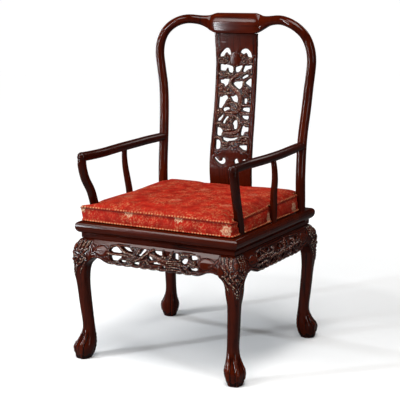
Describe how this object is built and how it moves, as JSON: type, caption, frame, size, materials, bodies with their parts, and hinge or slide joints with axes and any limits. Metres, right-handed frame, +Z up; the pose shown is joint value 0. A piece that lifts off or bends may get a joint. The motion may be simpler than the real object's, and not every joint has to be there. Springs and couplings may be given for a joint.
{
  "type": "carved hardwood armchair",
  "caption": "Carved rosewood armchair with ball-and-claw cabriole legs, pierced dragon splat and aprons, and a piped red brocade seat cushion",
  "frame": {"origin": "On the floor under the middle of the seat", "axes": "+Z up, -Y the way the sitter faces, +X the sitter's left, the viewer's right from the front"},
  "size_m": [0.5858, 0.5726, 1.0455],
  "materials": {
    "wood": "glossy dark red lacquer over carved hardwood",
    "fabric": "woven red and gold brocade"
  },
  "bodies": {
    "root": {"leg_front_left": "wood", "leg_front_right": "wood", "leg_back_left": "wood", "leg_back_right": "wood", "apron_front": "wood", "apron_left": "wood", "apron_right": "wood", "apron_back": "wood", "waist_front": "wood", "waist_back": "wood", "waist_left": "wood", "waist_right": "wood", "seat_rail_front": "wood", "seat_rail_back": "wood", "seat_rail_left": "wood", "seat_rail_right": "wood", "seat_panel": "wood", "seat_batten_front": "wood", "seat_batten_back": "wood", "back_post_left": "wood", "back_post_right": "wood", "back_shoulder_left": "wood", "back_shoulder_right": "wood", "crest_rail": "wood", "back_splat": "wood", "arm_rail_left": "wood", "arm_rail_right": "wood", "arm_front_post_left": "wood", "arm_front_post_right": "wood", "arm_side_post_left": "wood", "arm_side_post_right": "wood", "seat_cushion": "fabric"}
  },
  "joints": []
}
